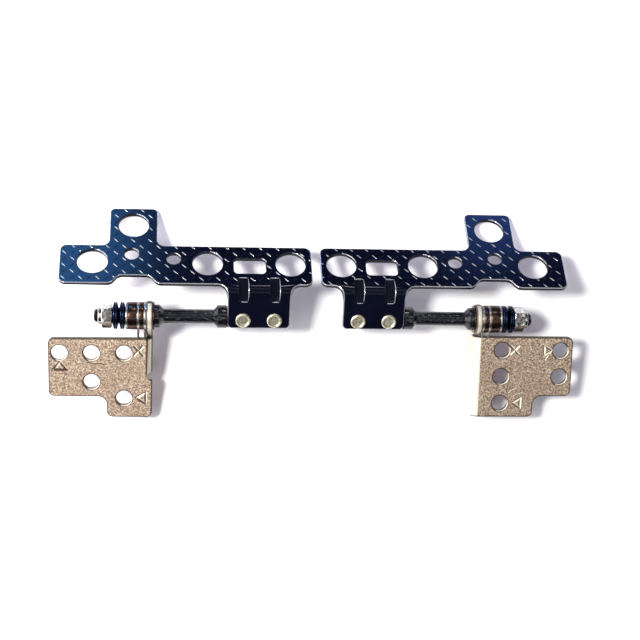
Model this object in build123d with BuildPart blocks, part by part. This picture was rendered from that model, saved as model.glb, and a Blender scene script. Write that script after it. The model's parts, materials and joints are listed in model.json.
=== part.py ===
from build123d import *
import os
from math import asin, atan2, cos, degrees, hypot, radians, sin, tan

# A pair of laptop lid hinges, lying on a table as two shallow tents with their shafts in line.
# +X runs along both shafts, +Y towards the lid brackets, +Z up. The origin is on the table under
# the middle of the pair. The right hinge is modelled, and every piece of the left hinge is its
# mirror image, apart from the base bracket, which has its own outline, holes and tilt on each side.

# Pose at rest, in degrees
flap_tilt = 22.0

# Lid bracket, one pressed and bent sheet. Its bar starts at the inner end, next to the other hinge.
# Places along the bar are given for the drawn length, and keep their share of any other length.
pair_gap = 1.6
lid_sheet = 0.8
bend_angle = 60.0
lid_bend_radius = 1.8
flap_middle = 9.85
flap_width = 11.5
flap_tip = 1.6
flap_reach = 6.2
bar_length = 46.3
drawn_length = 46.3
bar_height = 9.0
tab_start = 28.5
tab_width = 8.9
tab_height = 9.05
notch_middle = 32.65
notch_width = 5.5
notch_slope = 1.45
notch_depth = 1.9
end_corner = 1.3
tab_corner = 1.0
tab_root = 1.4
notch_corner = 1.5
neck_radius = 2.0
flap_corner = 0.9

# Holes of the lid bracket: distance from the inner end, then height above the foot of the bar
large_hole = 5.55
small_hole = 2.6
large_hole_places = [(3.94, 4.9), (19.27, 4.93), (40.3, 5.1)]
small_hole_places = [(25.5, 5.9), (33.2, 6.93)]
tab_hole_middle = 32.95
tab_hole_margin = 4.15
slot_middle = 11.5
slot_height = 4.38
slot_length = 5.9
slot_width = 3.5
slot_corner = 0.8

# Gussets pressed into the bend, in line with the rivets
gusset_length = 2.5
gusset_width = 1.7
gusset_wall = 0.55

# Shaft: a flat tongue under the flap, a collar, a rod, a second collar and a keyed end with two flats
tongue_thickness = 1.8
tongue_width = 3.4
tongue_margin = 0.35
rod_diameter = 2.6
collar_diameter = 4.2
collar_clearance = 0.12
inner_collar_land = 1.6
inner_collar_cone = 0.7
outer_collar_land = 0.85
outer_collar_cone = 0.8
across_flats = 2.0
thread_diameter = 2.5
thread_lead = 0.3
tip_length = 0.7

# Rivets that hold the flap on the tongue
rivet_spacing = 5.75
rivet_diameter = 1.6
rivet_head_diameter = 2.75
rivet_head_height = 0.36
rivet_dish_diameter = 1.8
rivet_dish_depth = 0.2
rivet_tail_diameter = 2.5
rivet_tail_height = 0.45

# Friction stack, from the second collar outwards
disc_diameter = 5.1
bearing_washer = 0.3
inner_disc = 0.8
tail_plate = 0.4
outer_disc = 1.7
seat_washer = 0.35
spring_sheet = 0.34
spring_height = 0.62
spring_count = 4
spring_edge = 0.1
nut_across_flats = 4.0
nut_height = 1.9
nut_bevel = 0.25
nut_collar_diameter = 3.3
nut_collar_height = 0.7
nut_collar_edge = 0.3

# Base bracket: a flat plate with a flange folded down along its inner side, and an ear round the shaft
ear_offset = 19.35
ear_radius = 2.75
base_sheet = 1.2
base_bend_radius = 1.4
flange_depth = 5.15
plate_lift = 0.8
plate_width = 17.7
plate_height = 15.55
wing_height = 11.45
plate_corner = 1.1
step_corner = 1.7
screw_hole = 2.9

# Left base bracket: a short flange, a pointed relief, then a lobe that reaches past the fold
left_plate_edge = 4.2
left_flange = 7.55
left_relief = 0.65
left_relief_rise = 0.95
left_relief_depth = 1.15
left_relief_corner = 0.4
left_lobe_width = 7.0
left_lobe_reach = 1.35
left_outer_margin = 2.05
left_lower_margin = 3.8
left_screw_holes = [
    (plate_width - left_outer_margin, 2.88),
    (9.8, 2.88),
    (3.85, 2.88),
    (9.8, 8.5),
    (3.85, plate_height - left_lower_margin),
]

# Right base bracket: a flange along the whole plate
right_plate_edge = 3.2
right_lobe_width = 10.5
right_outer_margin = 2.4
right_lower_margin = 2.7
right_screw_holes = [
    (4.1, 2.6),
    (4.1, 7.67),
    (4.1, plate_height - right_lower_margin),
    (plate_width - right_outer_margin, 2.6),
    (plate_width - right_outer_margin, 7.67),
]

# Tails of the fixed plates, forked over the edge of the base plate
tail_lip = 0.25
tail_overlap = 0.05

# Clearances
run_gap = 0.02
key_gap = 0.03
bore_gap = 0.04
fork_gap = 0.05
rivet_gap = 0.03

# Places along the shaft
bar_stretch = bar_length / drawn_length
flap_x = pair_gap / 2 + flap_middle * bar_stretch
inner_collar_x = flap_x + flap_width / 2 + collar_clearance
ear_x = flap_x + ear_offset
ear_outer_x = ear_x + base_sheet
left_relief_x = ear_x + base_bend_radius - left_lobe_reach + left_relief_depth
bearing_washer_x = ear_x - run_gap - bearing_washer
inner_tail_x = ear_outer_x + run_gap
inner_disc_x = inner_tail_x + tail_plate + run_gap
outer_tail_x = inner_disc_x + inner_disc + run_gap
outer_disc_x = outer_tail_x + tail_plate + run_gap
seat_washer_x = outer_disc_x + outer_disc
springs_x = seat_washer_x + seat_washer
nut_x = springs_x + spring_count * spring_height
tip_x = nut_x + nut_height + nut_collar_height + tip_length

# The lid bracket stands on the edge of its tab, which sets the height of the shaft
flap_lift = tongue_thickness / 2 + lid_sheet
lid_tilt = bend_angle - flap_tilt
bar_foot = lid_bend_radius * tan(radians(bend_angle / 2))
bar_top = bar_foot + bar_height
tab_top = bar_top + tab_height
flap_cos = cos(radians(flap_tilt))
flap_sin = sin(radians(flap_tilt))
lid_cos = cos(radians(lid_tilt))
lid_sin = sin(radians(lid_tilt))
bend_rise = flap_reach * flap_sin + flap_lift * flap_cos
bend_run = flap_reach * flap_cos - flap_lift * flap_sin
axis_z = tab_top * lid_sin + lid_sheet * lid_cos - bend_rise

# Each base bracket stands on the far lower corner of its flange, which sets its tilt in degrees
left_foot = left_plate_edge + left_flange
right_foot = right_plate_edge + plate_height
left_tilt = degrees(asin(axis_z / hypot(left_foot, flange_depth)) - atan2(flange_depth, left_foot))
right_tilt = degrees(asin(axis_z / hypot(right_foot, flange_depth)) - atan2(flange_depth, right_foot))

# The footprint is centred on the origin between the tab and the far edge of the base plates
tab_y = bend_run + tab_top * lid_cos
left_end = left_plate_edge + plate_height
right_end = right_plate_edge + plate_height
left_end_y = -left_end * cos(radians(left_tilt)) - plate_lift * sin(radians(left_tilt))
right_end_y = -right_end * cos(radians(right_tilt)) - plate_lift * sin(radians(right_tilt))
axis_y = -(tab_y + min(left_end_y, right_end_y)) / 2

shaft_axis = Axis((0, axis_y, axis_z), (1, 0, 0))
flap_normal = (0, -flap_sin, flap_cos)
lid_normal = (0, lid_sin, lid_cos)

# Flat planes of the lid bracket. The local Y runs from the shaft to the bend on the flap, and from
# the bend to the tab on the lid plate.
flap_plane = Plane(origin=(0, axis_y, axis_z), x_dir=(1, 0, 0), z_dir=flap_normal)
lid_plane = Plane(
    origin=(0, axis_y + bend_run, axis_z + bend_rise), x_dir=(1, 0, 0), z_dir=lid_normal
)


def lid_section(x):
    """A plane across the shaft that turns with the lid: along the flap, then away from it."""
    return Plane(origin=(x, axis_y, axis_z), x_dir=(0, flap_cos, flap_sin), z_dir=(1, 0, 0))


def base_section(x, tilt):
    """A plane across the shaft on a base bracket: along its plate, then away from it."""
    down_plate = (0, -cos(radians(tilt)), -sin(radians(tilt)))
    return Plane(origin=(x, axis_y, axis_z), x_dir=down_plate, z_dir=(-1, 0, 0))


def base_plate_plane(edge, tilt):
    """The outer face of a base plate: along the shaft, then up the plate towards its edge."""
    across = base_section(0, tilt)
    plate_start = across.from_local_coords((edge, plate_lift, 0))
    return Plane(origin=plate_start, x_dir=(1, 0, 0), z_dir=across.y_dir)


def along_bar(place):
    """Distance from the middle of the pair of a place along the bar, from its inner end."""
    return pair_gap / 2 + place * bar_stretch


def lid_outline():
    """Corners of the lid bracket with their radii, seen square to its upper plate."""
    inner = pair_gap / 2
    outer = inner + bar_length
    tab_inner = along_bar(tab_start)
    tab_outer = tab_inner + tab_width
    notch_inner = along_bar(notch_middle) - notch_width / 2
    notch_outer = notch_inner + notch_width
    notch_top = bar_foot + notch_depth
    flap_inner = flap_x - flap_width / 2
    flap_outer = flap_x + flap_width / 2
    below_flap = -flap_reach - flap_tip
    return [
        ((inner, bar_top), end_corner),
        ((tab_inner, bar_top), tab_root),
        ((tab_inner, tab_top), tab_corner),
        ((tab_outer, tab_top), tab_corner),
        ((tab_outer, bar_top), tab_root),
        ((outer, bar_top), end_corner),
        ((outer, bar_foot), end_corner),
        ((notch_outer + notch_slope, bar_foot), notch_corner),
        ((notch_outer, notch_top), notch_corner),
        ((notch_inner, notch_top), notch_corner),
        ((notch_inner - notch_slope, bar_foot), notch_corner),
        ((flap_outer, bar_foot), neck_radius),
        ((flap_outer, below_flap), 0),
        ((flap_inner, below_flap), 0),
        ((flap_inner, bar_foot), neck_radius),
        ((inner, bar_foot), end_corner),
    ]


def left_plate_outline(fold_x):
    """Corners of the left base plate with their radii, from the fold outwards and down from its edge."""
    relief_end = left_flange + left_relief
    return [
        ((fold_x, 0), 0),
        ((fold_x + plate_width, 0), plate_corner),
        ((fold_x + plate_width, -wing_height), plate_corner),
        ((fold_x + left_lobe_width, -wing_height), step_corner),
        ((fold_x + left_lobe_width, -plate_height), plate_corner),
        ((fold_x - left_lobe_reach, -plate_height), plate_corner),
        ((fold_x - left_lobe_reach, -relief_end), left_relief_corner),
        ((left_relief_x, -left_flange), 0),
        ((fold_x, -left_flange), 0),
    ]


def right_plate_outline(fold_x):
    """Corners of the right base plate with their radii, from the fold outwards and down from its edge."""
    return [
        ((fold_x, 0), 0),
        ((fold_x + plate_width, 0), plate_corner),
        ((fold_x + plate_width, -wing_height), plate_corner),
        ((fold_x + right_lobe_width, -wing_height), step_corner),
        ((fold_x + right_lobe_width, -plate_height), plate_corner),
        ((fold_x, -plate_height), 0),
    ]


def base_bracket(plate_outline, edge, flange_length, screw_holes, tilt):
    """A base bracket of the right-hand kind: plate, fold, flange and ear in one sheet."""
    fold_x = ear_x + base_bend_radius
    flange_top = plate_lift - base_bend_radius
    corners = plate_outline(fold_x)
    plate_plane = base_plate_plane(edge, tilt)
    fold_plane = Plane(origin=plate_plane.origin, x_dir=(1, 0, 0), z_dir=-plate_plane.y_dir)
    inner_fold = base_bend_radius - base_sheet
    with BuildPart() as bracket:
        # Plate, square to its own face
        with BuildSketch(plate_plane):
            with BuildLine():
                FilletPolyline(
                    *[corner for corner, radius in corners],
                    radius=[radius for corner, radius in corners],
                    close=True,
                )
            make_face()
        extrude(amount=-base_sheet)
        # Fold between the plate and the flange, from the plate's edge to the end of the flange
        with BuildSketch(fold_plane):
            with Locations((fold_x, -base_bend_radius)):
                Circle(base_bend_radius)
                Circle(inner_fold, mode=Mode.SUBTRACT)
                Rectangle(
                    base_bend_radius,
                    base_bend_radius,
                    align=(Align.MAX, Align.MIN),
                    mode=Mode.INTERSECT,
                )
        extrude(amount=flange_length)
        # Flange and ear
        with BuildSketch(base_section(ear_outer_x, tilt)):
            Circle(ear_radius)
            with BuildLine():
                Line((edge, flange_top), (edge, -flange_depth))
            make_hull()
            with Locations((edge, flange_top)):
                Rectangle(flange_length, flange_depth + flange_top, align=(Align.MIN, Align.MAX))
            Circle(rod_diameter / 2 + bore_gap, mode=Mode.SUBTRACT)
        extrude(amount=base_sheet)
        # Screw holes
        with BuildSketch(plate_plane):
            with Locations([(fold_x + out, -down) for out, down in screw_holes]):
                Circle(screw_hole / 2)
        extrude(amount=-base_sheet, mode=Mode.SUBTRACT)
    return bracket.part


def keyed_washer(x, thickness):
    """A flat washer that turns with the shaft, with a bore that fits its two flats."""
    with BuildPart() as washer:
        with BuildSketch(lid_section(x)):
            Circle(disc_diameter / 2)
            with BuildSketch(mode=Mode.SUBTRACT):
                Circle(rod_diameter / 2 + key_gap)
                Rectangle(disc_diameter, across_flats + 2 * key_gap, mode=Mode.INTERSECT)
        extrude(amount=thickness)
    return washer.part


def tailed_plate(x, edge, tilt):
    """A thin plate that stays with the base: a round bore, and a tail forked over the plate's edge."""
    fork_end = edge + tail_overlap
    fork_low = plate_lift - base_sheet - fork_gap
    fork_high = plate_lift + fork_gap
    with BuildPart() as plate:
        with BuildSketch(base_section(x + tail_plate, tilt)):
            Circle(disc_diameter / 2)
            with BuildLine():
                Polyline(
                    (0, fork_high + tail_lip),
                    (fork_end, fork_high + tail_lip),
                    (fork_end, fork_high),
                    (edge - fork_gap, fork_high),
                    (edge - fork_gap, fork_low),
                    (fork_end, fork_low),
                    (fork_end, fork_low - tail_lip),
                    (0, fork_low - tail_lip),
                    close=True,
                )
            make_face()
            Circle(rod_diameter / 2 + bore_gap, mode=Mode.SUBTRACT)
        extrude(amount=tail_plate)
    return plate.part


def dish_spring(x, opens_outwards):
    """A conical spring washer, with its narrow rim at x where it opens outwards."""
    bore = rod_diameter / 2 + key_gap
    rim = disc_diameter / 2
    narrow_x = x if opens_outwards else x + spring_height - spring_sheet
    wide_x = x + spring_height - spring_sheet if opens_outwards else x
    with BuildPart() as spring:
        with BuildSketch(flap_plane):
            with BuildLine():
                FilletPolyline(
                    (narrow_x, bore),
                    (narrow_x + spring_sheet, bore),
                    (wide_x + spring_sheet, rim),
                    (wide_x, rim),
                    radius=[0, 0, spring_edge, spring_edge],
                    close=True,
                )
            make_face()
        revolve(axis=shaft_axis)
    return spring.part


def export_one(piece, name):
    """Write one finished piece as a node of its own."""
    piece.label = name
    export_step(piece, f"parts/{name}.step")


def export_left(piece, name):
    """Write the mirror image of a right-hand piece as a piece of the left hinge."""
    with BuildPart() as mirrored:
        mirror(piece, about=Plane.YZ)
    export_one(mirrored.part, f"left_{name}")


def export_pair(piece, name):
    """Write a piece of the right hinge and its mirror image."""
    export_one(piece, f"right_{name}")
    export_left(piece, name)


os.makedirs("parts", exist_ok=True)

# Lid bracket: a bent strip as long as the bar, trimmed to its outline. Across the shaft, its faces
# run along the flap to the bend's outer corner and then along the upper plate.
half_bend = radians(bend_angle / 2)
bend_cos = cos(radians(bend_angle))
bend_sin = sin(radians(bend_angle))
bend_corner = Vector(flap_reach, flap_lift)
along_plate = Vector(bend_cos, -bend_sin)
outer_far = bend_corner + along_plate * tab_top
inner_far = outer_far - Vector(bend_sin, bend_cos) * lid_sheet
inner_corner = bend_corner - Vector(lid_sheet * tan(half_bend), lid_sheet)
outer_tip = Vector(-flap_tip, flap_lift)
inner_tip = outer_tip - Vector(0, lid_sheet)
pocket_start = bend_corner - Vector(gusset_length, 0)
pocket_end = bend_corner + along_plate * gusset_length
web_drop = Vector(-sin(half_bend), -cos(half_bend)) * lid_sheet
web_width = gusset_width + 2 * gusset_wall
lid_corners = lid_outline()
rivet_places = [flap_x - rivet_spacing / 2, flap_x + rivet_spacing / 2]

with BuildPart() as lid_bracket:
    with BuildSketch(lid_section(pair_gap / 2)):
        with BuildLine():
            FilletPolyline(outer_tip, bend_corner, outer_far, radius=lid_bend_radius)
            FilletPolyline(inner_tip, inner_corner, inner_far, radius=lid_bend_radius - lid_sheet)
            Line(outer_tip, inner_tip)
            Line(outer_far, inner_far)
        make_face()
    extrude(amount=bar_length)
    with BuildSketch(lid_plane):
        with BuildLine():
            FilletPolyline(
                *[corner for corner, radius in lid_corners],
                radius=[radius for corner, radius in lid_corners],
                close=True,
            )
        make_face()
    extrude(amount=tab_top, both=True, mode=Mode.INTERSECT)
    tip_face = lid_bracket.faces().sort_by(Axis.Y)[0]
    fillet(tip_face.edges().filter_by(Axis((0, 0, 0), flap_normal)), flap_corner)
    # Gussets: a web inside the bend under a pocket pressed in from outside
    for x in rivet_places:
        with BuildSketch(lid_section(x - web_width / 2)):
            with BuildLine():
                Polyline(
                    pocket_start,
                    pocket_end,
                    pocket_end + web_drop,
                    pocket_start + web_drop,
                    close=True,
                )
            make_face()
        extrude(amount=web_width)
        with BuildSketch(lid_section(x - gusset_width / 2)):
            with BuildLine():
                Polyline(pocket_start, bend_corner, pocket_end, close=True)
            make_face()
        extrude(amount=gusset_width, mode=Mode.SUBTRACT)
    # Holes of the upper plate
    with BuildSketch(lid_plane):
        with Locations([(along_bar(x), bar_foot + y) for x, y in large_hole_places]):
            Circle(large_hole / 2)
        with Locations((along_bar(tab_hole_middle), tab_top - tab_hole_margin)):
            Circle(large_hole / 2)
        with Locations([(along_bar(x), bar_foot + y) for x, y in small_hole_places]):
            Circle(small_hole / 2)
        with Locations((along_bar(slot_middle), bar_foot + slot_height)):
            RectangleRounded(slot_length, slot_width, slot_corner)
    extrude(amount=-lid_sheet, mode=Mode.SUBTRACT)
    # Rivet holes of the flap
    with BuildSketch(flap_plane.offset(flap_lift)):
        with Locations([(x, 0) for x in rivet_places]):
            Circle(rivet_diameter / 2 + rivet_gap)
    extrude(amount=-lid_sheet, mode=Mode.SUBTRACT)
export_pair(lid_bracket.part, "lid_bracket")

# Shaft, turned in one piece, with the tongue and the two flats milled on it
inner_rod_x = inner_collar_x + inner_collar_land + inner_collar_cone
outer_collar_end = bearing_washer_x
outer_rod_x = outer_collar_end - outer_collar_land - outer_collar_cone
tongue_x = flap_x - flap_width / 2 + tongue_margin
with BuildPart() as shaft:
    with BuildSketch(flap_plane):
        with BuildLine():
            Polyline(
                (inner_collar_x, 0),
                (inner_collar_x, collar_diameter / 2),
                (inner_collar_x + inner_collar_land, collar_diameter / 2),
                (inner_rod_x, rod_diameter / 2),
                (outer_rod_x, rod_diameter / 2),
                (outer_rod_x + outer_collar_cone, collar_diameter / 2),
                (outer_collar_end, collar_diameter / 2),
                (outer_collar_end, rod_diameter / 2),
                (nut_x, rod_diameter / 2),
                (nut_x, thread_diameter / 2),
                (tip_x - thread_lead, thread_diameter / 2),
                (tip_x, thread_diameter / 2 - thread_lead),
                (tip_x, 0),
                close=True,
            )
        make_face()
    revolve(axis=shaft_axis)
    with BuildSketch(lid_section(tongue_x)):
        Rectangle(tongue_width, tongue_thickness)
    extrude(amount=inner_collar_x - tongue_x)
    # Two flats from the ear to the tip, so that the keyed washers slide on
    with BuildSketch(lid_section(ear_outer_x)):
        Rectangle(collar_diameter, collar_diameter)
        Rectangle(collar_diameter, across_flats, mode=Mode.SUBTRACT)
    extrude(amount=tip_x - ear_outer_x, mode=Mode.SUBTRACT)
    with BuildSketch(flap_plane):
        with Locations([(x, 0) for x in rivet_places]):
            Circle(rivet_diameter / 2 + rivet_gap)
    extrude(amount=tongue_thickness, both=True, mode=Mode.SUBTRACT)
export_pair(shaft.part, "shaft")

# Rivets, headed on the flap and upset under the tongue
head_seat = flap_lift
tail_seat = -tongue_thickness / 2
with BuildPart() as rivets:
    for x in rivet_places:
        with BuildSketch(lid_section(x)):
            with BuildLine():
                Polyline(
                    (0, head_seat + rivet_head_height - rivet_dish_depth),
                    (rivet_dish_diameter / 2, head_seat + rivet_head_height - rivet_dish_depth),
                    (rivet_dish_diameter / 2 + rivet_dish_depth, head_seat + rivet_head_height),
                    (rivet_head_diameter / 2 - rivet_dish_depth, head_seat + rivet_head_height),
                    (rivet_head_diameter / 2, head_seat + rivet_dish_depth),
                    (rivet_head_diameter / 2, head_seat),
                    (rivet_diameter / 2, head_seat),
                    (rivet_diameter / 2, tail_seat),
                    (rivet_tail_diameter / 2, tail_seat),
                    (rivet_tail_diameter / 2, tail_seat - rivet_tail_height / 2),
                    (rivet_diameter / 2, tail_seat - rivet_tail_height),
                    (0, tail_seat - rivet_tail_height),
                    close=True,
                )
            make_face()
        revolve(axis=Axis((x, axis_y, axis_z), flap_normal))
export_pair(rivets.part, "rivets")

# Friction stack: the bearing washer runs free on the rod, the discs and the seat are keyed to the shaft
with BuildPart() as bearing:
    with BuildSketch(lid_section(bearing_washer_x)):
        Circle(disc_diameter / 2)
        Circle(rod_diameter / 2 + key_gap, mode=Mode.SUBTRACT)
    extrude(amount=bearing_washer)
export_pair(bearing.part, "bearing_washer")
export_pair(keyed_washer(inner_disc_x, inner_disc), "inner_friction_disc")
export_pair(keyed_washer(outer_disc_x, outer_disc), "outer_friction_disc")
export_pair(keyed_washer(seat_washer_x, seat_washer), "spring_seat")
for place in range(spring_count):
    spring = dish_spring(springs_x + place * spring_height, place % 2 == 0)
    export_pair(spring, f"dish_spring_{place + 1}")

# Lock nut: a bevelled hexagon with a round collar
nut_corner = nut_across_flats / 2 / cos(radians(30))
collar_x = nut_x + nut_height
with BuildPart() as nut:
    with BuildSketch(lid_section(nut_x)):
        RegularPolygon(nut_across_flats / 2, 6, major_radius=False, rotation=-flap_tilt)
    extrude(amount=nut_height)
    with BuildSketch(flap_plane):
        with BuildLine():
            Polyline(
                (nut_x, 0),
                (nut_x, nut_corner - nut_bevel),
                (nut_x + nut_bevel / 2, nut_corner),
                (collar_x - nut_bevel / 2, nut_corner),
                (collar_x, nut_corner - nut_bevel),
                (collar_x, 0),
                close=True,
            )
        make_face()
    revolve(axis=shaft_axis, mode=Mode.INTERSECT)
    with BuildSketch(lid_section(collar_x)):
        Circle(nut_collar_diameter / 2)
    extrude(amount=nut_collar_height)
    fillet(nut.faces().sort_by(Axis.X)[-1].edges(), nut_collar_edge)
    with BuildSketch(lid_section(nut_x)):
        Circle(thread_diameter / 2 + key_gap)
    extrude(amount=nut_height + nut_collar_height, mode=Mode.SUBTRACT)
export_pair(nut.part, "lock_nut")

# Base brackets, and the tailed plates that stay with them
right_bracket = base_bracket(
    right_plate_outline, right_plate_edge, plate_height, right_screw_holes, right_tilt
)
whole_bracket = base_bracket(
    left_plate_outline, left_plate_edge, left_flange, left_screw_holes, left_tilt
)
beyond_flange = ear_x - left_relief_corner
with BuildPart() as left_bracket:
    add(whole_bracket)
    # Relief: the fold and the end of the flange are cut back to the relief's point
    with BuildSketch(base_plate_plane(left_plate_edge, left_tilt)):
        with BuildLine():
            Polyline(
                (beyond_flange, -left_flange + left_relief_rise),
                (left_relief_x, -left_flange),
                (beyond_flange, -left_flange),
                close=True,
            )
        make_face()
    extrude(amount=-plate_lift - flange_depth, mode=Mode.SUBTRACT)
export_one(right_bracket, "right_base_bracket")
export_left(left_bracket.part, "base_bracket")
for name, x in (("inner_tail_plate", inner_tail_x), ("outer_tail_plate", outer_tail_x)):
    export_one(tailed_plate(x, right_plate_edge, right_tilt), f"right_{name}")
    export_left(tailed_plate(x, left_plate_edge, left_tilt), name)
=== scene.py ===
import json
import math

import bmesh
import bpy
from mathutils import Matrix, Vector


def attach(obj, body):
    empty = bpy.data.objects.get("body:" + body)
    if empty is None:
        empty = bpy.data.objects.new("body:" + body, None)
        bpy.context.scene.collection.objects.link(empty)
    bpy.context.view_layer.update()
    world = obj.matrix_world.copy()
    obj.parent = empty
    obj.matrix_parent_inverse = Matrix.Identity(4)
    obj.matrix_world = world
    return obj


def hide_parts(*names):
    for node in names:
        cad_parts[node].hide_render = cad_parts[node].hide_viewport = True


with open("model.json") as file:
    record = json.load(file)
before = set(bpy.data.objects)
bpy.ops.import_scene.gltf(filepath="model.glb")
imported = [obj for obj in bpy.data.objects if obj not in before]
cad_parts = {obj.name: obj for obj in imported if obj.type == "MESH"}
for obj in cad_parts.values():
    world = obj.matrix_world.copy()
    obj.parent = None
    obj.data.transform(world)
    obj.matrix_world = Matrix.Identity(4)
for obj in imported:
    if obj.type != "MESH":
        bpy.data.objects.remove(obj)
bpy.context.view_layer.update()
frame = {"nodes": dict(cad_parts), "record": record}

# A pair of laptop lid hinges on a white table. Sizes are in mm, as in the part's source, and are
# turned into metres where a mesh is made. Sides: -1 is the left hinge, 1 is the right one.
MM = 0.001
HANDS = {"left": -1, "right": 1}

# Pose at rest and the places of the sheets round the shaft
FLAP_TILT = math.radians(22.0)
BEND_ANGLE = math.radians(60.0)
LID_TILT = BEND_ANGLE - FLAP_TILT
BASE_TILTS = {-1: math.radians(17.733), 1: math.radians(10.5113)}
PLATE_EDGES = {-1: 4.2, 1: 3.2}
PAIR_GAP = 1.6
AXIS_Y = -0.5495
AXIS_Z = 8.4841
FLAP_REACH = 6.2
FLAP_LIFT = 1.7
BEND_RUN = FLAP_REACH * math.cos(FLAP_TILT) - FLAP_LIFT * math.sin(FLAP_TILT)
BEND_RISE = FLAP_REACH * math.sin(FLAP_TILT) + FLAP_LIFT * math.cos(FLAP_TILT)

# Outline of the lid plate: (from the inner end, up from the bend), then the corner's radius
BAR_FOOT = 1.0392
BAR_TOP = 10.0392
TAB_TOP = 19.0892
NOTCH_TOP = BAR_FOOT + 1.9
BAR_LENGTH = 46.3
LID_OUTLINE = [
    ((0, BAR_TOP), 1.3),
    ((28.5, BAR_TOP), 1.4),
    ((28.5, TAB_TOP), 1.0),
    ((37.4, TAB_TOP), 1.0),
    ((37.4, BAR_TOP), 1.4),
    ((BAR_LENGTH, BAR_TOP), 1.3),
    ((BAR_LENGTH, BAR_FOOT), 1.3),
    ((36.85, BAR_FOOT), 1.5),
    ((35.4, NOTCH_TOP), 1.5),
    ((29.9, NOTCH_TOP), 1.5),
    ((28.45, BAR_FOOT), 1.5),
    ((0, BAR_FOOT), 1.3),
]
LID_HOLES = [
    ((3.94, BAR_FOOT + 4.9), 2.775),
    ((19.27, BAR_FOOT + 4.93), 2.775),
    ((40.3, BAR_FOOT + 5.1), 2.775),
    ((32.95, TAB_TOP - 4.15), 2.775),
    ((25.5, BAR_FOOT + 5.9), 1.3),
    ((33.2, BAR_FOOT + 6.93), 1.3),
]
SLOT_MIDDLE = (11.5, BAR_FOOT + 4.38)
SLOT_HALF = (2.95, 1.75)
GUSSET_PLACES = (9.85 - 2.875, 9.85 + 2.875)
GUSSET_HALF = 0.85
GUSSET_TOP = 2.5

# Tread pressed into the lid plates: short ridges on a staggered lattice, leaning both ways in turn.
# For each side: step along the bar, row height, and the place of one ridge from the pair's middle.
TREADS = {-1: (3.13, 1.49, 0.652, -0.779), 1: (2.89, 1.61, 0.958, -0.02)}
TREAD_LENGTH = 1.2
TREAD_WIDTH = 0.2
TREAD_HEIGHT = 0.09
TREAD_SUNK = 0.02
TREAD_MARGIN = 0.16
TREAD_SHORTEST = 0.5
TREAD_SAMPLES = 13
LATTICE_COLUMNS = range(-34, 35)
LATTICE_ROWS = range(16)

# A ridge: stations along it, its profile as (across, height), and how its ends taper
RIDGE_STATIONS = 9
RIDGE_PROFILE = [(-1.0, 0.0), (-0.62, 0.62), (-0.2, 0.97), (0.2, 0.97), (0.62, 0.62), (1.0, 0.0)]
RIDGE_TIP = 0.06
RIDGE_FULLNESS = 2.6
RIDGE_NARROWING = 0.7

# Base plates: (out from the fold, down from the plate's edge)
EAR_X = 30.0
BASE_BEND = 1.4
PLATE_LIFT = 0.8
MARK_WIDTH = 0.5
MARK_DEPTH = 0.2
SCRATCH_WIDTH = 0.16
SCRATCH_DEPTH = 0.06
GROOVE_RISE = 0.06
GROOVE_OVERRUN = 0.3
SCREW_HOLE = 2.9
SCREW_HOLES = {
    -1: [(15.65, 2.88), (9.8, 2.88), (3.85, 2.88), (9.8, 8.5), (3.85, 11.75)],
    1: [(4.1, 2.6), (4.1, 7.67), (4.1, 12.85), (15.3, 2.6), (15.3, 7.67)],
}
STAMPED_LINES = {
    "left": [
        [(15.52, 4.64), (16.75, 6.13), (14.22, 6.13), (15.52, 4.64)],
        [(1.99, 1.5), (0.37, 3.28)],
        [(0.37, 1.5), (1.95, 3.28)],
        [(1.52, 11.65), (-0.18, 10.53), (-0.18, 12.77), (1.52, 11.65)],
    ],
    "right": [
        [(5.71, 1.7), (7.27, 3.31)],
        [(7.27, 1.7), (5.71, 3.31)],
        [(13.71, 2.55), (12.2, 1.69), (12.2, 3.43), (13.71, 2.55)],
        [(6.56, 12.76), (8.05, 11.84), (8.05, 13.69), (6.56, 12.76)],
    ],
}
SCRATCHES = {
    "left": [[(11.22, 4.29), (10.5, 4.74), (9.68, 4.91), (8.5, 4.94), (7.53, 5.05)]],
    "right": [
        [(5.62, 10.75), (6.3, 10.24), (6.99, 9.91)],
        [(6.25, 11.59), (7.3, 11.0), (8.52, 10.64)],
        [(9.18, 0.35), (9.3, 1.3), (9.56, 2.48)],
        [(12.41, 4.39), (12.94, 3.61)],
    ],
}

# Camera, fitted to the photograph's frame of 640 by 640
CAMERA_YAW = math.radians(-5.968)
CAMERA_PITCH = math.radians(-0.5)
CAMERA_ROLL = math.radians(0.624)
CAMERA_TARGET = Vector((1.223, -1.042, 5.0)) * MM
CAMERA_DISTANCE = 0.28
CAMERA_LENS = 83.712
CAMERA_SENSOR = 36.0
CAMERA_NEAR = 0.01


def lid_place(x, up, lift):
    """A point over the outer face of a lid plate, with x from the middle of the pair."""
    y = AXIS_Y + BEND_RUN + up * math.cos(LID_TILT) + lift * math.sin(LID_TILT)
    z = AXIS_Z + BEND_RISE - up * math.sin(LID_TILT) + lift * math.cos(LID_TILT)
    return Vector((x, y, z)) * MM


def flap_place(x, up, lift):
    """A point over the outer face of a flap, up from the bend, so negative on the flap itself."""
    reach = FLAP_REACH + up
    level = FLAP_LIFT + lift
    y = AXIS_Y + reach * math.cos(FLAP_TILT) - level * math.sin(FLAP_TILT)
    z = AXIS_Z + reach * math.sin(FLAP_TILT) + level * math.cos(FLAP_TILT)
    return Vector((x, y, z)) * MM


def base_place(side, out, down, lift):
    """A point over the outer face of a base plate."""
    along = PLATE_EDGES[side] + down
    level = PLATE_LIFT + lift
    tilt = BASE_TILTS[side]
    y = AXIS_Y - along * math.cos(tilt) - level * math.sin(tilt)
    z = AXIS_Z - along * math.sin(tilt) + level * math.cos(tilt)
    return Vector((side * (EAR_X + BASE_BEND + out), y, z)) * MM


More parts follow.
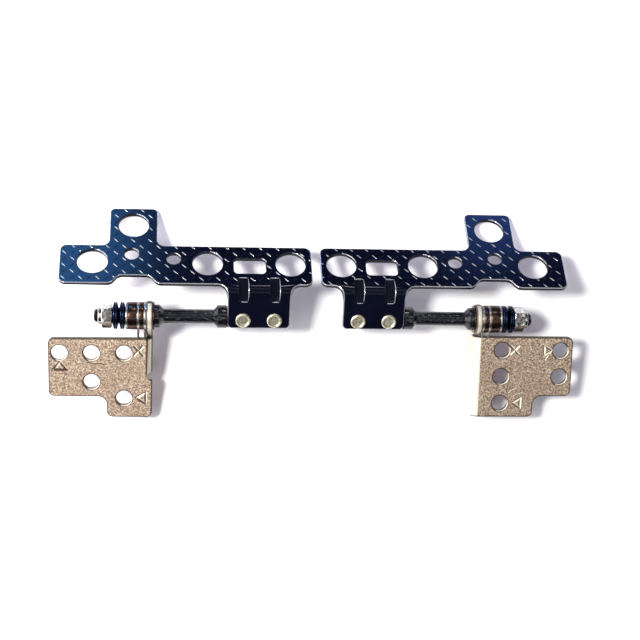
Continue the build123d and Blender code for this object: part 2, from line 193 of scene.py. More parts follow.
def rounded_outline(corners, steps=6):
    """Points of a closed outline with its corners rounded."""
    points = []
    count = len(corners)
    for i, (corner, radius) in enumerate(corners):
        here = Vector(corner)
        before = (Vector(corners[i - 1][0]) - here).normalized()
        after = (Vector(corners[(i + 1) % count][0]) - here).normalized()
        half = before.angle(after) / 2
        reach = radius / math.tan(half)
        centre = here + (before + after).normalized() * radius / math.sin(half)
        start = here + before * reach - centre
        end = here + after * reach - centre
        for k in range(steps + 1):
            points.append(centre + start.slerp(end, k / steps).normalized() * radius)
    return points


def distance_inside(point, outline):
    """How far a point lies inside a closed outline, or a negative distance outside it."""
    nearest = 1e9
    inside = False
    for a, b in zip(outline, outline[1:] + outline[:1]):
        along = b - a
        share = max(0.0, min(1.0, (point - a).dot(along) / max(along.length_squared, 1e-12)))
        nearest = min(nearest, (point - a - along * share).length)
        if (a.y > point.y) != (b.y > point.y):
            if point.x < a.x + (point.y - a.y) / (b.y - a.y) * along.x:
                inside = not inside
    return nearest if inside else -nearest


def plain_sheet(point, outline):
    """True where the lid plate is whole: away from its edge, holes, slot and gussets."""
    if distance_inside(point, outline) < TREAD_MARGIN:
        return False
    for middle, radius in LID_HOLES:
        if (point - Vector(middle)).length < radius + TREAD_MARGIN:
            return False
    off = point - Vector(SLOT_MIDDLE)
    if abs(off.x) < SLOT_HALF[0] + TREAD_MARGIN and abs(off.y) < SLOT_HALF[1] + TREAD_MARGIN:
        return False
    in_gusset = any(abs(point.x - x) < GUSSET_HALF + TREAD_MARGIN for x in GUSSET_PLACES)
    return not (in_gusset and point.y < GUSSET_TOP + TREAD_MARGIN)


def longest_run(flags):
    """First and last place of the longest run of true flags, or None."""
    best, start = None, None
    for k, flag in enumerate(list(flags) + [False]):
        if flag and start is None:
            start = k
        if not flag and start is not None:
            if best is None or k - 1 - start > best[1] - best[0]:
                best = (start, k - 1)
            start = None
    return best


def add_ridge(bm, place, middle, along, length):
    """A closed lens-shaped ridge on a sheet. place turns (x, up, lift) into a point in metres."""
    across = Vector((-along.y, along.x))
    rows = []
    for k in range(RIDGE_STATIONS):
        share = 2 * k / (RIDGE_STATIONS - 1) - 1
        swell = max(RIDGE_TIP, 1 - abs(share) ** RIDGE_FULLNESS)
        spot = middle + along * (share * length / 2)
        row = []
        for side, height in RIDGE_PROFILE:
            at = spot + across * (side * TREAD_WIDTH / 2 * swell ** RIDGE_NARROWING)
            row.append(bm.verts.new(place(at.x, at.y, height * TREAD_HEIGHT * swell)))
        for side in (1.0, -1.0):
            at = spot + across * (side * TREAD_WIDTH / 2 * swell ** RIDGE_NARROWING)
            row.append(bm.verts.new(place(at.x, at.y, -TREAD_SUNK)))
        rows.append(row)
    size = len(rows[0])
    for first, second in zip(rows, rows[1:]):
        for j in range(size):
            bm.faces.new((first[j], first[(j + 1) % size], second[(j + 1) % size], second[j]))
    bm.faces.new(rows[0][::-1])
    bm.faces.new(rows[-1])


def new_piece(name, mesh, body, material):
    """A finished mesh as a piece of the object, riding on a body."""
    piece = bpy.data.objects.new(name, mesh)
    bpy.context.scene.collection.objects.link(piece)
    mesh.materials.clear()
    mesh.materials.append(material)
    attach(piece, body)
    return piece


def mesh_from(bm, name):
    """A smooth-shaded mesh from a bmesh, with outward normals."""
    bmesh.ops.recalc_face_normals(bm, faces=bm.faces[:])
    for face in bm.faces:
        face.smooth = True
    mesh = bpy.data.meshes.new(name)
    bm.to_mesh(mesh)
    bm.free()
    return mesh


# Materials


SOCKETS = {
    "color": "Base Color",
    "metal": "Metallic",
    "rough": "Roughness",
    "specular": "Specular IOR Level",
    "glow": "Emission Color",
    "glow_strength": "Emission Strength",
}


class Shader:
    """A node material with short calls for its nodes. Textures lie on the piece itself, in mm."""

    def __init__(self, name):
        self.material = bpy.data.materials.new(name)
        self.material.use_nodes = True
        self.tree = self.material.node_tree
        self.bsdf = self.tree.nodes["Principled BSDF"]
        coordinates = self.tree.nodes.new("ShaderNodeTexCoord")
        self.place = self.add(
            "ShaderNodeVectorMath",
            {"operation": "SCALE"},
            Vector=coordinates.outputs["Object"],
            Scale=1 / MM,
        ).outputs[0]

    def add(self, kind, settings=None, **inputs):
        node = self.tree.nodes.new(kind)
        for key, value in (settings or {}).items():
            setattr(node, key, value)
        for key, value in inputs.items():
            socket = node.inputs[int(key[1:])] if key[0] == "_" else node.inputs[key]
            self.feed(socket, value)
        return node

    def feed(self, socket, value):
        if isinstance(value, bpy.types.NodeSocket):
            self.tree.links.new(value, socket)
        else:
            socket.default_value = value

    def noise(self, scale, detail=3.0, roughness=0.55, stretch=(1, 1, 1)):
        where = self.place
        if stretch != (1, 1, 1):
            where = self.add("ShaderNodeMapping", _0=where, _3=stretch).outputs[0]
        made = self.add(
            "ShaderNodeTexNoise", Vector=where, Scale=scale, Detail=detail, Roughness=roughness
        )
        return made.outputs["Fac"]

    def ramp(self, value, stops):
        node = self.add("ShaderNodeValToRGB", Fac=value)
        elements = node.color_ramp.elements
        while len(elements) < len(stops):
            elements.new(0.5)
        for element, (position, color) in zip(elements, stops):
            element.position = position
            element.color = (*color, 1.0)
        return node.outputs["Color"]

    def spread(self, value, low, high, to_low, to_high):
        node = self.add("ShaderNodeMapRange", Value=value)
        for k, number in enumerate((low, high, to_low, to_high)):
            node.inputs[k + 1].default_value = number
        return node.outputs[0]

    def mix(self, share, first, second):
        node = self.add("ShaderNodeMix", {"data_type": "RGBA"})
        self.feed(node.inputs["Factor"], share)
        for socket, value in ((node.inputs[6], first), (node.inputs[7], second)):
            self.feed(socket, (*value, 1.0) if isinstance(value, tuple) else value)
        return node.outputs[2]

    def calc(self, operation, first, second):
        node = self.add("ShaderNodeMath", {"operation": operation}, _0=first, _1=second)
        return node.outputs[0]

    def marked(self, name):
        """A number stored on the faces of a sheet, 0 where a mesh has none."""
        return self.add("ShaderNodeAttribute", {"attribute_name": name}).outputs["Fac"]

    def bump(self, height, distance, strength):
        node = self.add("ShaderNodeBump", Height=height, Distance=distance * MM, Strength=strength)
        self.feed(self.bsdf.inputs["Normal"], node.outputs[0])

    def set(self, **values):
        for key, value in values.items():
            self.feed(self.bsdf.inputs[SOCKETS[key]], value)


def navy_coat(name, wear_and_highlight):
    """Dark navy coating on steel, turned to bright metal on marked faces, or all over by
    wear_and_highlight: partly edge wear, partly painted highlight.
    """
    s = Shader(name)
    cloudy = s.noise(0.22, 4.0)
    grain = s.noise(7.0, 2.0)
    speck = s.noise(2.6, 5.0, 0.7)
    coat = s.ramp(cloudy, [(0.3, (0.0014, 0.0018, 0.007)), (0.7, (0.0022, 0.003, 0.011))])
    coat = s.mix(s.spread(speck, 0.55, 0.8, 0.0, 0.5), coat, (0.004, 0.006, 0.022))
    # Painted highlight and wear: the marked share, or the given one, turns the coat to bright metal
    wear_and_highlight_share = s.calc("MAXIMUM", s.marked("wear_and_highlight"), wear_and_highlight)
    wear_and_highlight_share = s.calc("MULTIPLY", wear_and_highlight_share, s.spread(speck, 0.38, 0.56, 0.3, 1.0))
    s.set(color=s.mix(wear_and_highlight_share, coat, (0.66, 0.67, 0.7)), metal=s.calc("MULTIPLY", wear_and_highlight_share, 0.9))
    s.set(rough=s.spread(grain, 0.3, 0.7, 0.07, 0.12), specular=0.2)
    s.bump(grain, 0.005, 0.3)
    return s.material


BRONZE_SHADES = [
    (0.11, 0.065, 0.045),
    (0.36, 0.25, 0.175),
    (0.78, 0.63, 0.47),
    (0.3, 0.185, 0.145),
    (0.92, 0.82, 0.66),
]


def bronze_plate(name, tone):
    """Bronze-toned plating with a coarse sparkling grain, painted highlights on its fold, ear and
    lit rims and walls, and painted shade on its unlit edges, shaded flank and the shaded walls of
    stamped signs; its cut walls are dark too.
    """
    s = Shader(name)
    shades = [tuple(tone * c for c in shade) for shade in BRONZE_SHADES]
    grain = s.noise(3.0, 3.0, 0.65)
    fine = s.noise(8.0, 2.0)
    cloud = s.noise(0.12, 3.0)
    tan = s.ramp(grain, list(zip((0.38, 0.5, 0.62), shades[:3])))
    tan = s.mix(s.spread(cloud, 0.35, 0.7, 0.0, 0.5), tan, shades[3])
    tan = s.mix(s.spread(fine, 0.55, 0.68, 0.0, 0.9), tan, shades[4])
    # Painted highlight where faces are marked fold: the fold, flange, ear, lit hole rims and lit
    # groove walls
    tan = s.mix(s.calc("MULTIPLY", s.marked("fold"), 0.75), tan, (0.86, 0.82, 0.68))
    # Painted shade where faces are marked cut: unlit broken edges and the shaded flank; cut walls
    # are dark as well
    tan = s.mix(s.calc("MULTIPLY", s.marked("cut"), 0.9), tan, (0.04, 0.03, 0.025))
    # Painted shade on the shaded walls of the stamped signs and scratches
    s.set(color=s.mix(s.marked("shaded_groove"), tan, (0.1, 0.065, 0.05)), metal=0.4)
    s.set(rough=s.spread(fine, 0.3, 0.7, 0.3, 0.5))
    s.bump(s.calc("ADD", grain, s.calc("MULTIPLY", fine, 0.5)), 0.045, 0.7)
    return s.material


METAL_RELIEF = (0.006, 0.6)


def plain_metal(name, dark, light, rough, metal=1.0, grain=4.0, stretch=(1, 1, 1)):
    """Metal with a stretched grain that drives its colour, roughness and fine relief."""
    s = Shader(name)
    lines = s.noise(grain, 4.0, 0.6, stretch)
    cloud = s.noise(0.5, 3.0)
    color = s.ramp(lines, [(0.3, dark), (0.72, light)])
    middle = tuple((a + b) / 2.6 for a, b in zip(dark, light))
    s.set(color=s.mix(s.spread(cloud, 0.35, 0.75, 0.0, 0.6), color, middle), metal=metal)
    s.set(rough=s.spread(lines, 0.3, 0.7, *rough))
    s.bump(lines, *METAL_RELIEF)
    return s.material


def black_steel(name):
    """Black oxide steel, drawn lengthwise, with fine bright flecks where it has rubbed."""
    s = Shader(name)
    lines = s.noise(5.0, 4.0, 0.6, (0.3, 3, 3))
    flecks = s.spread(s.noise(2.2, 5.0, 0.7, (0.5, 2, 2)), 0.57, 0.7, 0.0, 0.6)
    coat = s.ramp(lines, [(0.3, (0.0015, 0.0015, 0.003)), (0.72, (0.006, 0.007, 0.012))])
    s.set(color=s.mix(flecks, coat, (0.3, 0.31, 0.33)), metal=s.calc("MULTIPLY", flecks, 0.9))
    s.set(rough=s.spread(lines, 0.3, 0.7, 0.08, 0.16), specular=0.5)
    s.bump(lines, *METAL_RELIEF)
    return s.material


MATERIALS = {
    "navy_coat": navy_coat("navy_coat", 0.0),
    "bronze_plate": bronze_plate("bronze_plate", 0.82),
    "bright_steel": plain_metal(
        "bright_steel", (0.4, 0.39, 0.35), (0.76, 0.74, 0.68), (0.22, 0.36)
    ),
    "black_steel": black_steel("black_steel"),
    "rivet_brass": plain_metal(
        "rivet_brass", (0.32, 0.28, 0.16), (1.0, 0.96, 0.8), (0.26, 0.4), metal=0.8, grain=2.2
    ),
    "copper_disc": plain_metal(
        "copper_disc",
        (0.03, 0.018, 0.015),
        (0.17, 0.1, 0.075),
        (0.18, 0.3),
        grain=3.5,
        stretch=(4, 0.7, 0.7),
    ),
    "blued_spring": plain_metal(
        "blued_spring",
        (0.006, 0.01, 0.03),
        (0.022, 0.04, 0.1),
        (0.18, 0.3),
        grain=3.5,
        stretch=(3, 0.8, 0.8),
    ),
    "nickel_nut": plain_metal(
        "nickel_nut", (0.12, 0.12, 0.11), (0.95, 0.93, 0.88), (0.12, 0.22), grain=1.8
    ),
}

SLOT_OF = {row["node"]: row["material_slot"] for row in frame["record"]["subparts"]}
for name, node in frame["nodes"].items():
    node.data.materials.clear()
    node.data.materials.append(MATERIALS[SLOT_OF[name]])

# Edges: turned pieces keep their meshes and have their sharp edges broken by modifiers, in mm
EDGE_WIDTHS = {
    "shaft": 0.1,
    "rivets": 0.025,
    "lock_nut": 0.08,
    "inner_friction_disc": 0.1,
    "outer_friction_disc": 0.12,
    "bearing_washer": 0.05,
    "spring_seat": 0.05,
    "inner_tail_plate": 0.05,
    "outer_tail_plate": 0.05,
}


# Meshing: points this near are one, in mm; edges over these angles count as flat joins, square
# edges of sheets, sharp shading and sharp edges of turned pieces
MERGE_DISTANCE = 0.0005
FLAT_ANGLE = math.radians(0.5)
SQUARE_ANGLE = math.radians(50)
SHARP_ANGLE = math.radians(30)
TURNED_ANGLE = math.radians(32)
BEVEL_STEPS = 3
FACE_SIZE_WEIGHT = 90
FLAT_COSINE = 0.99998
SPARED_REACH = 0.3


def break_edges(piece, width):
    """Round the sharp edges of a piece with modifiers, so that its own mesh stays as it is."""
    weld = piece.modifiers.new("weld", "WELD")
    weld.merge_threshold = MERGE_DISTANCE * MM
    bevel = piece.modifiers.new("edges", "BEVEL")
    bevel.width = width * MM
    bevel.segments = BEVEL_STEPS
    bevel.limit_method = "ANGLE"
    bevel.angle_limit = TURNED_ANGLE
    bevel.use_clamp_overlap = True
    normals = piece.modifiers.new("normals", "WEIGHTED_NORMAL")
    normals.keep_sharp = False


for name, node in frame["nodes"].items():
    kind = name.split("_", 1)[1]
    if kind in EDGE_WIDTHS:
        break_edges(node, EDGE_WIDTHS[kind])


def sheet_mesh(source, name):
    """A joined copy of a mesh with its flat faces in one piece, without stored normals."""
    bm = bmesh.new()
    bm.from_mesh(source)
    bmesh.ops.remove_doubles(bm, verts=bm.verts[:], dist=MERGE_DISTANCE * MM)
    bmesh.ops.dissolve_limit(bm, angle_limit=FLAT_ANGLE, verts=bm.verts[:], edges=bm.edges[:])
    bmesh.ops.recalc_face_normals(bm, faces=bm.faces[:])
    plain = bpy.data.meshes.new(name)
    bm.to_mesh(plain)
    bm.free()
    if "custom_normal" in plain.attributes:
        plain.attributes.remove(plain.attributes["custom_normal"])
    return plain


def chamfer(mesh, width, square_to, marks, spared=()):
    """Break the square outer edges of a sheet, shade its plate flat, and mark its faces.

    square_to is the plate's normal. marks gives, for each name, a function from a face's middle,
    its normal and whether it lies on a broken edge to a number. Edges at spared points stay
    square."""
    bm = bmesh.new()
    bm.from_mesh(mesh)
    reach = SPARED_REACH * MM
    square = [
        edge
        for edge in bm.edges
        if len(edge.link_faces) == 2
        and edge.is_convex
        and edge.calc_face_angle() > SQUARE_ANGLE
        and not any((end.co - spot).length < reach for end in edge.verts for spot in spared)
    ]
    made = bmesh.ops.bevel(
        bm,
        geom=square,
        offset=width * MM,
        segments=BEVEL_STEPS,
        profile=0.5,
        affect="EDGES",
        clamp_overlap=False,
    )
    bm.faces.index_update()
    broken = {face.index for face in made["faces"]}
    for face in bm.faces:
        face.smooth = abs(face.normal.dot(square_to)) < FLAT_COSINE
    for name, rule in marks.items():
        layer = bm.faces.layers.float.new(name)
        for face in bm.faces:
            face[layer] = rule(face.calc_center_median(), face.normal, face.index in broken)
    bm.to_mesh(mesh)
    bm.free()
    mesh.set_sharp_from_angle(angle=SHARP_ANGLE)


def even_normals(piece):
    """Shade a sheet by the size of its faces, so that flat faces stay flat next to a bend."""
    normals = piece.modifiers.new("normals", "WEIGHTED_NORMAL")
    normals.keep_sharp = True
    normals.weight = FACE_SIZE_WEIGHT


# Lid brackets with their sheared edges broken and bright: edge wear, with painted highlights on the
# lit sides of holes and gussets
LID_EDGE = 0.15
EDGE_SLACK = 0.05
# Bright share of broken edges: wear on outer edges, painted highlight on the lit rims of holes and
# gussets; unlit rims stay coated
WORN_AND_HIGHLIT = 0.9
COATED = 0.02
LIT_FROM = (0.15, 0.3)
LID_NORMAL = Vector((0, math.sin(LID_TILT), math.cos(LID_TILT)))
LID_OPENINGS = [(place, (radius, radius)) for place, radius in LID_HOLES]
LID_OPENINGS.append((SLOT_MIDDLE, SLOT_HALF))


def lid_coordinates(side, point):
    """A point in metres as (from the inner end, up from the bend) on a lid plate."""
    away = point / MM - Vector((0, AXIS_Y + BEND_RUN, AXIS_Z + BEND_RISE))
    up = away.dot(Vector((0, math.cos(LID_TILT), -math.sin(LID_TILT))))
    return Vector((side * point.x / MM - PAIR_GAP / 2, up))


def lid_wear_and_highlight(side):
    """Wear and painted highlight of a lid bracket: bright on broken edges, of the holes only at
    their upper right, where the brightness is a painted highlight.

    Of a gusset only the right edge is bright, also a painted highlight. Its half on the flap, at 60
    degrees to the plate, reaches half its length down as measured along the plate."""
    beyond = LID_EDGE + EDGE_SLACK

    def rule(middle, normal, broken):
        if not broken:
            return 0.0
        spot = lid_coordinates(side, middle)
        for place, half in LID_OPENINGS:
            off = spot - Vector(place)
            if abs(off.x) < half[0] + beyond and abs(off.y) < half[1] + beyond:
                lit = off.y > LIT_FROM[1] * half[1] and off.x * side > LIT_FROM[0] * half[0]
                return WORN_AND_HIGHLIT if lit else COATED
        if -GUSSET_TOP / 2 - LID_EDGE < spot.y < GUSSET_TOP + LID_EDGE:
            for x in GUSSET_PLACES:
                if abs(spot.x - x) < GUSSET_HALF + beyond:
                    return WORN_AND_HIGHLIT if (spot.x - x) * side > 0 else COATED
        return WORN_AND_HIGHLIT

    return rule


for hand, side in HANDS.items():
    mesh = sheet_mesh(frame["nodes"][f"{hand}_lid_bracket"].data, f"{hand}_lid_sheet")
    chamfer(mesh, LID_EDGE, LID_NORMAL, {"wear_and_highlight": lid_wear_and_highlight(side)})
    sheet = new_piece(f"{hand}_lid_sheet", mesh, f"{hand}_lid", MATERIALS["navy_coat"])
    even_normals(sheet)
    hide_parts(f"{hand}_lid_bracket")

# Tread on the lid plates: the ridges that fall to the right are painted bright, a painted highlight
# that is stronger on the left hinge; the others are coated
TREAD_HIGHLIGHTS = {-1: navy_coat("left_tread_highlight", 0.95), 1: navy_coat("right_tread_highlight", 0.5)}
TREAD_LEANS = {"tread": -1, "cross_tread": 1}
outline = rounded_outline(LID_OUTLINE)


def tread_offset(sample):
    """How far a sample of a ridge lies from its middle."""
    return TREAD_LENGTH * (sample / (TREAD_SAMPLES - 1) - 0.5)


for hand, side in HANDS.items():
    step, row, first_x, first_up = TREADS[side]
    for kind, lean in TREAD_LEANS.items():
        bm = bmesh.new()
        material = TREAD_HIGHLIGHTS[side] if lean < 0 else MATERIALS["navy_coat"]
        along = Vector((1, lean)).normalized()
        slope = Vector((along.x * side, along.y))
        for i in LATTICE_COLUMNS:
            for j in LATTICE_ROWS:
                if ((i + j) % 2 == 0) != (lean < 0):
                    continue
                spot = Vector((first_x + i * step / 2, first_up + j * row))
                here = Vector((spot.x * side - PAIR_GAP / 2, spot.y))
                flags = [
                    plain_sheet(here + slope * tread_offset(k), outline)
                    for k in range(TREAD_SAMPLES)
                ]
                run = longest_run(flags)
                if run is None:
                    continue
                length = TREAD_LENGTH * (run[1] - run[0]) / (TREAD_SAMPLES - 1)
                if length < TREAD_SHORTEST:
                    continue
                middle = spot + along * tread_offset((run[0] + run[1]) / 2)
                add_ridge(bm, lid_place, middle, along, length)
        mesh = mesh_from(bm, f"{hand}_lid_{kind}")
        new_piece(f"{hand}_lid_{kind}", mesh, f"{hand}_lid", material)

# Rims at both ends of each gusset, painted bright as a painted highlight
GUSSET_RIM_HIGHLIGHT = navy_coat("gusset_rim_highlight", WORN_AND_HIGHLIT)
RIM_SHIFT = 0.2
for hand, side in HANDS.items():
    bm = bmesh.new()
    for x in GUSSET_PLACES:
        middle = side * (PAIR_GAP / 2 + x)
        beyond = GUSSET_TOP + TREAD_WIDTH / 2
        add_ridge(bm, lid_place, Vector((middle, beyond)), Vector((1, 0)), 2 * GUSSET_HALF)
        low_rim = Vector((middle + RIM_SHIFT, -beyond))
        add_ridge(bm, flap_place, low_rim, Vector((1, 0)), 2 * (GUSSET_HALF - RIM_SHIFT))
    mesh = mesh_from(bm, f"{hand}_gusset_rims")
    new_piece(f"{hand}_gusset_rims", mesh, f"{hand}_lid", GUSSET_RIM_HIGHLIGHT)

# Base brackets with their stamped signs and scratches cut in. Their folds are painted pale, a
# painted highlight, from a place that is given as its distance out from the flat plate.
BASE_EDGE = 0.26
# The left plate is a lighter copy of the bronze: painted light
BRONZES = {-1: bronze_plate("bronze_left_lit", 1.15), 1: MATERIALS["bronze_plate"]}
FOLD_STARTS = {-1: -0.5, 1: -0.02}
FOLD_ENDS = {-1: -1.12, 1: -9.0}
LOBE_START = 10.0
LIT_RIM = Vector((-0.71, 0.71, 0))
LIT_RIM_COSINE = 0.15
LIT_WALL = Vector((-0.98, 0.2, 0))
LIT_WALL_COSINE = 0.1
EAR_OUT = -0.1
EAR_DOWN = -0.02
# Share of painted highlight on the ear
EAR_HIGHLIGHT = 0.9
RIM_DEPTH = -0.3
FLANGE_DEPTH = -3.0
FLANK_COSINE = 0.1
# Share of painted shade on the flank where the fold turns from the light
FLANK_SHADE = 0.9
CUT_COSINE = 0.3
END_COSINE = 0.95
GROOVE_OUT = 0.02
GROOVE_LEVEL = -0.005
BASE_SHEET = 1.2
RELIEF_POINTS = {-1: [(-0.2, 7.55)], 1: []}


def add_groove(bm, side, line, width, depth):
    """V-shaped cutters along a line on a base plate."""
    for a, b in zip(line, line[1:]):
        start, end = Vector(a), Vector(b)
        along = (end - start).normalized()
        across = Vector((-along.y, along.x)) * width / 2 * (1 + GROOVE_RISE / depth)
        overrun = along * width * GROOVE_OVERRUN
        rows = []
        for spot in (start - overrun, end + overrun):
            row = [(spot - across, GROOVE_RISE), (spot + across, GROOVE_RISE), (spot, -depth)]
            rows.append([bm.verts.new(base_place(side, p.x, p.y, lift)) for p, lift in row])
        for j in range(3):
            bm.faces.new((rows[0][j], rows[0][(j + 1) % 3], rows[1][(j + 1) % 3], rows[1][j]))
        bm.faces.new(rows[0][::-1])
        bm.faces.new(rows[1])


def base_coordinates(side, point):
    """A point in metres as (out from the fold, down from the edge, lift) on a base plate."""
    tilt = BASE_TILTS[side]
    away = point / MM - Vector((0, AXIS_Y, AXIS_Z))
    down = away.dot(Vector((0, -math.cos(tilt), -math.sin(tilt)))) - PLATE_EDGES[side]
    level = away.dot(Vector((0, -math.sin(tilt), math.cos(tilt)))) - PLATE_LIFT
    return side * away.x - EAR_X - BASE_BEND, down, level


def base_normal(side):
    """Normal of the outer face of a base plate."""
    return Vector((0, -math.sin(BASE_TILTS[side]), math.cos(BASE_TILTS[side])))


def base_marks(side):
    """Marks of a base bracket: painted highlight on its fold, flange, ear and lit rims of holes,
    and painted shade on its other broken edges and shaded flank, with its dark cut walls.
    """
    square = base_normal(side)
    rim = SCREW_HOLE / 2 + BASE_EDGE

    def lit_rim(middle, normal):
        out, down, level = base_coordinates(side, middle)
        near = any(math.hypot(out - x, down - y) < rim for x, y in SCREW_HOLES[side])
        return near and level > RIM_DEPTH and normal.dot(LIT_RIM) > LIT_RIM_COSINE

    def fold(middle, normal, broken):
        out, down, _ = base_coordinates(side, middle)
        # Painted highlight: the ear, the lit rims of holes and the fold are made pale
        if out < EAR_OUT and down < EAR_DOWN:
            return EAR_HIGHLIGHT
        if broken:
            return 1.0 if lit_rim(middle, normal) else 0.0
        return 1.0 if FOLD_ENDS[side] < out < FOLD_STARTS[side] else 0.0

    def cut(middle, normal, broken):
        out, down, level = base_coordinates(side, middle)
        # Painted shade: broken edges away from the lit rims, and the flank where the fold turns
        # from the light, are made dark; upright cut walls are dark too
        if broken:
            return 0.0 if lit_rim(middle, normal) else 1.0
        on_flank = level > FLANGE_DEPTH and normal.x > FLANK_COSINE
        if side < 0 and 0 < down < LOBE_START and on_flank:
            if out > FOLD_STARTS[side]:
                return FLANK_SHADE
            return 1.0 if out < FOLD_ENDS[side] else 0.0
        upright = abs(normal.dot(square)) < CUT_COSINE
        return 1.0 if upright and abs(normal.x) < END_COSINE else 0.0

    return {"fold": fold, "cut": cut}


def mark_grooves(mesh, side):
    """Mark the walls of the cut signs with painted light: painted shade on the shaded walls,
    painted highlight on the lit side.
    """
    bm = bmesh.new()
    bm.from_mesh(mesh)
    shaded_groove = bm.faces.layers.float.new("shaded_groove")
    fold = bm.faces.layers.float["fold"]
    cut = bm.faces.layers.float["cut"]
    for face in bm.faces:
        face.smooth = abs(face.normal.dot(base_normal(side))) < FLAT_COSINE
        out, down, level = base_coordinates(side, face.calc_center_median())
        on_plate = out > GROOVE_OUT or down > LOBE_START
        unmarked = face[cut] < 0.5 and face[fold] < 0.5
        if on_plate and unmarked and RIM_DEPTH < level < GROOVE_LEVEL:
            lit = face.normal.dot(LIT_WALL) > LIT_WALL_COSINE
            face[shaded_groove] = 0.0 if lit else 1.0
            face[fold] = 1.0 if lit else 0.0
    bm.to_mesh(mesh)
    bm.free()
    mesh.set_sharp_from_angle(angle=SHARP_ANGLE)


for hand, side in HANDS.items():
    node = frame["nodes"][f"{hand}_base_bracket"]
    cutter_bm = bmesh.new()
    for line in STAMPED_LINES[hand]:
        add_groove(cutter_bm, side, line, MARK_WIDTH, MARK_DEPTH)
    for line in SCRATCHES[hand]:
        add_groove(cutter_bm, side, line, SCRATCH_WIDTH, SCRATCH_DEPTH)
    cutter = bpy.data.objects.new("cutter", mesh_from(cutter_bm, "cutter"))
    bpy.context.scene.collection.objects.link(cutter)
    plate_mesh = sheet_mesh(node.data, f"{hand}_stamped_bracket")
    spared = [
        base_place(side, *spot, lift) for spot in RELIEF_POINTS[side] for lift in (0, -BASE_SHEET)
    ]
    chamfer(plate_mesh, BASE_EDGE, base_normal(side), base_marks(side), spared)
    plate = new_piece(f"{hand}_stamped_bracket", plate_mesh, "base", BRONZES[side])
    cut = plate.modifiers.new("signs", "BOOLEAN")
    cut.operation = "DIFFERENCE"
    cut.solver = "EXACT"
    cut.use_self = True
    cut.object = cutter
    bpy.context.view_layer.update()
    evaluated = plate.evaluated_get(bpy.context.evaluated_depsgraph_get())
    cut_mesh = bpy.data.meshes.new_from_object(evaluated)
    plate.modifiers.clear()
    plate.data = cut_mesh
    cut_mesh.materials.clear()
    cut_mesh.materials.append(BRONZES[side])
    bpy.data.objects.remove(cutter)
    mark_grooves(cut_mesh, side)
    even_normals(plate)
    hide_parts(f"{hand}_base_bracket")

# Floor: it glows a little, and more where the photograph's shadows are washed out, which is at its
# left, behind the lids and far away. Starts and ends are in mm, a third number is the fill's share.
# The glow is painted light: its lavender tint paints the shadows lavender, and the fill lifts the
# shadows at the left, behind the lids and far away
FLOOR_HALF = 1.5
FLOOR_SHADES = [(0.3, (0.86, 0.86, 0.875)), (0.7, (0.9, 0.9, 0.91))]
FLOOR_ROUGHNESS = 0.7
# Glow colours: the lavender one paints the shadows, the paler one goes with the fill
GLOW_COLORS = ((0.74, 0.6, 1.0), (0.92, 0.92, 1.0))
GLOW_STRENGTHS = (0.07, 0.7)
LEFT_FILL = (-35.0, -31.0)
BACK_FILLS = ((5.0, 8.0, 0.13), (10.0, 14.0, 0.5))
FAR_FILL = (75.0, 140.0)


def floor_material():
    """Pale floor with its painted fill light."""
    s = Shader("floor")
    s.set(color=s.ramp(s.noise(0.02, 2.0), FLOOR_SHADES), rough=FLOOR_ROUGHNESS)
    spot = s.add("ShaderNodeSeparateXYZ", _0=s.place)
    fill = s.spread(spot.outputs["X"], *LEFT_FILL, 1.0, 0.0)
    for start, end, share in BACK_FILLS:
        fill = s.calc("MAXIMUM", fill, s.spread(spot.outputs["Y"], start, end, 0.0, share))
    far = s.add("ShaderNodeVectorMath", {"operation": "LENGTH"}, _0=s.place).outputs["Value"]
    fill = s.calc("MAXIMUM", fill, s.spread(far, *FAR_FILL, 0.0, 1.0))
    s.set(glow=s.mix(fill, *GLOW_COLORS))
    s.set(glow_strength=s.spread(fill, 0.0, 1.0, *GLOW_STRENGTHS))
    return s.material


floor_bm = bmesh.new()
bmesh.ops.create_grid(floor_bm, x_segments=4, y_segments=4, size=FLOOR_HALF)
floor = bpy.data.objects.new("floor", mesh_from(floor_bm, "floor"))
floor.data.materials.append(floor_material())
bpy.context.scene.collection.objects.link(floor)

# Sky: shades by height, with a bright ring round the zenith
SKY_STRENGTH = 0.9
SKY_STOPS = [
    (0.5, (0.03, 0.03, 0.035)),
    (0.8, (0.13, 0.13, 0.14)),
    (0.885, (0.3, 0.3, 0.3)),
    (0.905, (2.1, 2.1, 2.1)),
    (0.926, (2.1, 2.1, 2.1)),
    (0.94, (0.3, 0.3, 0.31)),
]
scene = bpy.context.scene
world = bpy.data.worlds.new("studio")
world.use_nodes = True
scene.world = world
sky = world.node_tree
direction = sky.nodes.new("ShaderNodeTexCoord").outputs["Generated"]
split = sky.nodes.new("ShaderNodeSeparateXYZ")
sky.links.new(direction, split.inputs[0])
fade = sky.nodes.new("ShaderNodeValToRGB")
while len(fade.color_ramp.elements) < len(SKY_STOPS):
    fade.color_ramp.elements.new(0.5)
for element, (position, color) in zip(fade.color_ramp.elements, SKY_STOPS):
    element.position = position
    element.color = (*color, 1.0)
sky.links.new(split.outputs["Z"], fade.inputs[0])

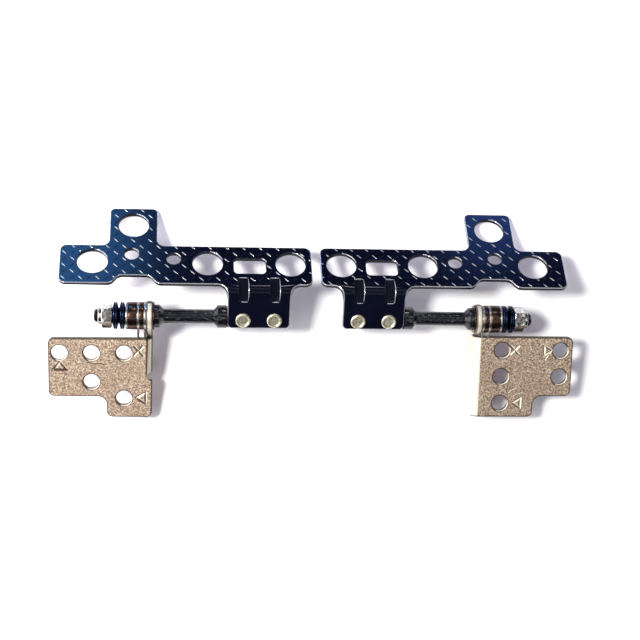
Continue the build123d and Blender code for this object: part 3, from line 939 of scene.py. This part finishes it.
# Soft glows in the sky: direction, where the glow ends and is full (as cosines), and its colour
SKY_GLOWS = [
    ((-0.13, 0.97, 0.2), (0.991, 0.9967), (1.1, 4.4, 11.5)),
    ((0.214, 0.96, 0.163), (0.9988, 0.99975), (0.9, 2.3, 8.0)),
    ((-0.85, 0.0, 0.53), (0.8, 0.95), (3.4, 3.35, 3.2)),
    ((0.1, 0.86, 0.5), (0.9974, 0.9989), (20.0, 20.0, 20.5)),
]
light = fade.outputs[0]
for toward, (end, full), color in SKY_GLOWS:
    near = sky.nodes.new("ShaderNodeVectorMath")
    near.operation = "DOT_PRODUCT"
    sky.links.new(direction, near.inputs[0])
    near.inputs[1].default_value = Vector(toward).normalized()
    share = sky.nodes.new("ShaderNodeMapRange")
    share.interpolation_type = "SMOOTHSTEP"
    sky.links.new(near.outputs["Value"], share.inputs["Value"])
    share.inputs["From Min"].default_value = end
    share.inputs["From Max"].default_value = full
    glow = sky.nodes.new("ShaderNodeVectorMath")
    glow.operation = "SCALE"
    glow.inputs[0].default_value = color
    sky.links.new(share.outputs[0], glow.inputs["Scale"])
    total = sky.nodes.new("ShaderNodeVectorMath")
    total.operation = "ADD"
    sky.links.new(light, total.inputs[0])
    sky.links.new(glow.outputs[0], total.inputs[1])
    light = total.outputs[0]
sky.links.new(light, sky.nodes["Background"].inputs["Color"])
sky.nodes["Background"].inputs["Strength"].default_value = SKY_STRENGTH

# Key light: a soft square lamp over the left, aimed at the middle of the pair
KEY_PLACE = Vector((-0.31, 0.05, 0.56))
KEY_SIDE = 0.1
KEY_WATTS = 4.4
KEY_COLOR = (1.0, 0.985, 0.95)
key_light = bpy.data.lights.new("key", "AREA")
key_light.shape = "RECTANGLE"
key_light.size = key_light.size_y = KEY_SIDE
key_light.energy = KEY_WATTS
key_light.color = KEY_COLOR
key = bpy.data.objects.new("key", key_light)
key.location = KEY_PLACE
key.rotation_euler = (-KEY_PLACE).to_track_quat("-Z", "Y").to_euler()
scene.collection.objects.link(key)

# Camera
turn = (
    Matrix.Rotation(CAMERA_YAW, 4, "Y")
    @ Matrix.Rotation(CAMERA_PITCH, 4, "X")
    @ Matrix.Rotation(CAMERA_ROLL, 4, "Z")
)
camera_data = bpy.data.cameras.new("camera")
camera_data.lens = CAMERA_LENS
camera_data.sensor_width = CAMERA_SENSOR
camera_data.clip_start = CAMERA_NEAR
camera = bpy.data.objects.new("camera", camera_data)
away = Matrix.Translation((0, 0, CAMERA_DISTANCE))
camera.matrix_world = Matrix.Translation(CAMERA_TARGET) @ turn @ away
scene.collection.objects.link(camera)
scene.camera = camera

scene.view_settings.view_transform = "Standard"
